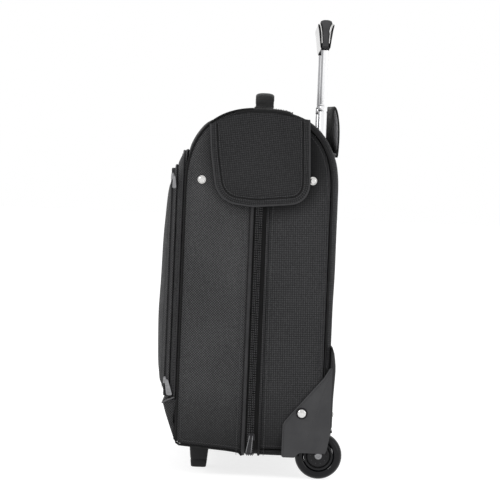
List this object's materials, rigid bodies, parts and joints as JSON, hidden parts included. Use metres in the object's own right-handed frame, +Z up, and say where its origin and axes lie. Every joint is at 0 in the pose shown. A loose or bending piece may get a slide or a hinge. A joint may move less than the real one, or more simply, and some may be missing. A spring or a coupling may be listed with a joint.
{
  "type": "rolling garment bag",
  "caption": "Soft-sided wheeled garment bag that folds in two over its top, with a telescopic handle, zipped ends under bound flaps, a front pocket and moulded corner guards.",
  "frame": {"origin": "middle of the footprint, on the surface the bag stands on", "axes": "+X across the bag towards its right end, +Y towards the trolley handle's side, +Z up"},
  "size_m": [0.5768, 0.2643, 0.655],
  "materials": {
    "fabric": "woven ballistic nylon, matte",
    "binding": "smooth grained synthetic leather, satin",
    "zip_tape": "twill tape with nylon coil teeth",
    "guard_plastic": "moulded, fine matte grain",
    "black_plastic": "moulded, satin",
    "gloss_black": "polished",
    "wheel_rubber": "smooth, glossy",
    "soft_grip": "soft touch, matte",
    "aluminium": "satin anodised",
    "nickel": "bright nickel plate",
    "board": "raw sheet"
  },
  "bodies": {
    "rear_half": {"back_panel": "fabric", "rear_base": "fabric", "rear_shoulder": "fabric", "rear_end_panel_l": "fabric", "rear_end_panel_r": "fabric", "top_patch": "fabric", "handle_anchor_l": "binding", "handle_anchor_r": "binding", "tube_bezel": "black_plastic", "tube_housing_l": "black_plastic", "tube_housing_r": "black_plastic", "tube_bracket": "black_plastic", "corner_guard_l": "guard_plastic", "corner_guard_r": "guard_plastic", "axle_l": "nickel", "axle_r": "nickel", "rear_stud_l": "nickel", "rear_stud_r": "nickel", "guard_rivet_l": "nickel", "guard_rivet_r": "nickel", "rear_zip_tape": "zip_tape", "back_board": "board", "hanger_bracket": "black_plastic"},
    "front_half": {"front_panel": "fabric", "front_base": "fabric", "front_shoulder": "fabric", "front_end_panel_l": "fabric", "front_end_panel_r": "fabric", "front_stud_l": "nickel", "front_stud_r": "nickel", "foot_l": "black_plastic", "foot_r": "black_plastic", "front_zip_tape": "zip_tape", "pocket_gusset": "fabric", "cuff_panel": "fabric"},
    "pocket_panel": {"pocket_panel": "fabric"},
    "pocket_slider_lower_l": {"pocket_slider_lower_l": "nickel"},
    "pocket_slider_lower_r": {"pocket_slider_lower_r": "nickel"},
    "pocket_slider_upper_l": {"pocket_slider_upper_l": "nickel"},
    "pocket_slider_upper_r": {"pocket_slider_upper_r": "nickel"},
    "hanger_clamp": {"hanger_clamp": "nickel"},
    "carry_handle": {"carry_handle": "binding"},
    "strap_loop": {"strap_loop": "binding"},
    "trolley_lower": {"lower_tube_l": "aluminium", "lower_tube_r": "aluminium"},
    "trolley_upper": {"upper_tube_l": "aluminium", "upper_tube_r": "aluminium", "grip": "soft_grip"},
    "release_button": {"release_button": "gloss_black"},
    "release_linkage": {"release_linkage": "black_plastic"},
    "wheel_l": {"tyre_l": "wheel_rubber", "wheel_hub_l": "gloss_black"},
    "wheel_r": {"tyre_r": "wheel_rubber", "wheel_hub_r": "gloss_black"},
    "end_flap_l": {"end_flap_l": "fabric"},
    "end_flap_r": {"end_flap_r": "fabric"},
    "zip_slider_l": {"zip_slider_l": "nickel"},
    "zip_slider_r": {"zip_slider_r": "nickel"},
    "zip_pull_l": {"zip_pull_l": "nickel"},
    "zip_pull_r": {"zip_pull_r": "nickel"}
  },
  "joints": [
    {"name": "front_half_fold", "type": "hinge", "parent": "rear_half", "child": "front_half", "pos_m": [0, -0.04, 0.516], "axis": [-1, 0, 0], "range_deg": [0, 110]},
    {"name": "pocket_panel_open", "type": "hinge", "parent": "front_half", "child": "pocket_panel", "pos_m": [0, -0.1225, 0.1075], "axis": [1, 0, 0], "range_deg": [0, 25]},
    {"name": "hanger_clamp_lift", "type": "hinge", "parent": "rear_half", "child": "hanger_clamp", "pos_m": [0, 0.0425, 0.0785], "axis": [-1, 0, 0], "range_deg": [0, 60]},
    {"name": "carry_handle_tilt", "type": "hinge", "parent": "rear_half", "child": "carry_handle", "pos_m": [0, 0.004, 0.5265], "axis": [1, 0, 0], "range_deg": [-25, 25], "stiffness_Nm_per_rad": 0.3},
    {"name": "strap_loop_lean", "type": "hinge", "parent": "rear_half", "child": "strap_loop", "pos_m": [0, 0.1066, 0.453], "axis": [1, 0, 0], "range_deg": [-60, 0], "stiffness_Nm_per_rad": 0.05},
    {"name": "trolley_lower_slide", "type": "slide", "parent": "rear_half", "child": "trolley_lower", "axis": [0, 0, 1], "range_m": [-0.026, 0.23]},
    {"name": "trolley_upper_slide", "type": "slide", "parent": "trolley_lower", "child": "trolley_upper", "axis": [0, 0, 1], "range_m": [-0.078, 0.19]},
    {"name": "release_button_press", "type": "slide", "parent": "trolley_upper", "child": "release_button", "axis": [0, 0, -1], "range_m": [0, 0.004], "stiffness_N_per_m": 600},
    {"name": "release_linkage_travel", "type": "slide", "parent": "trolley_upper", "child": "release_linkage", "axis": [0, 0, -1], "range_m": [0, 0.004], "stiffness_N_per_m": 600},
    {"name": "wheel_spin_l", "type": "hinge", "parent": "rear_half", "child": "wheel_l", "pos_m": [0, 0.099, 0.033], "axis": [1, 0, 0], "continuous": true},
    {"name": "end_flap_lift_l", "type": "hinge", "parent": "rear_half", "child": "end_flap_l", "pos_m": [-0.2825, 0.004, 0.5215], "axis": [0, 1, 0], "range_deg": [0, 100]},
    {"name": "zip_slide_l", "type": "slide", "parent": "rear_half", "child": "zip_slider_l", "axis": [0, 0, 1], "range_m": [0, 0.31]},
    {"name": "zip_pull_swing_l", "type": "hinge", "parent": "zip_slider_l", "child": "zip_pull_l", "pos_m": [-0.2875, 0.004, 0.0605], "axis": [0, 1, 0], "range_deg": [0, 90]},
    {"name": "pocket_zip_lower_l", "type": "slide", "parent": "front_half", "child": "pocket_slider_lower_l", "axis": [0, 0, 1], "range_m": [0, 0.24]},
    {"name": "pocket_zip_upper_l", "type": "slide", "parent": "front_half", "child": "pocket_slider_upper_l", "axis": [0, 0, 1], "range_m": [-0.24, 0]},
    {"name": "wheel_spin_r", "type": "hinge", "parent": "rear_half", "child": "wheel_r", "pos_m": [0, 0.099, 0.033], "axis": [1, 0, 0], "continuous": true},
    {"name": "end_flap_lift_r", "type": "hinge", "parent": "rear_half", "child": "end_flap_r", "pos_m": [0.2825, 0.004, 0.5215], "axis": [0, -1, 0], "range_deg": [0, 100]},
    {"name": "zip_slide_r", "type": "slide", "parent": "rear_half", "child": "zip_slider_r", "axis": [0, 0, 1], "range_m": [0, 0.31]},
    {"name": "zip_pull_swing_r", "type": "hinge", "parent": "zip_slider_r", "child": "zip_pull_r", "pos_m": [0.2875, 0.004, 0.0605], "axis": [0, -1, 0], "range_deg": [0, 90]},
    {"name": "pocket_zip_lower_r", "type": "slide", "parent": "front_half", "child": "pocket_slider_lower_r", "axis": [0, 0, 1], "range_m": [0, 0.24]},
    {"name": "pocket_zip_upper_r", "type": "slide", "parent": "front_half", "child": "pocket_slider_upper_r", "axis": [0, 0, 1], "range_m": [-0.24, 0]}
  ],
  "couplings": [
    {"joint": "release_linkage_travel", "follows": "release_button_press", "ratio": 1}
  ]
}
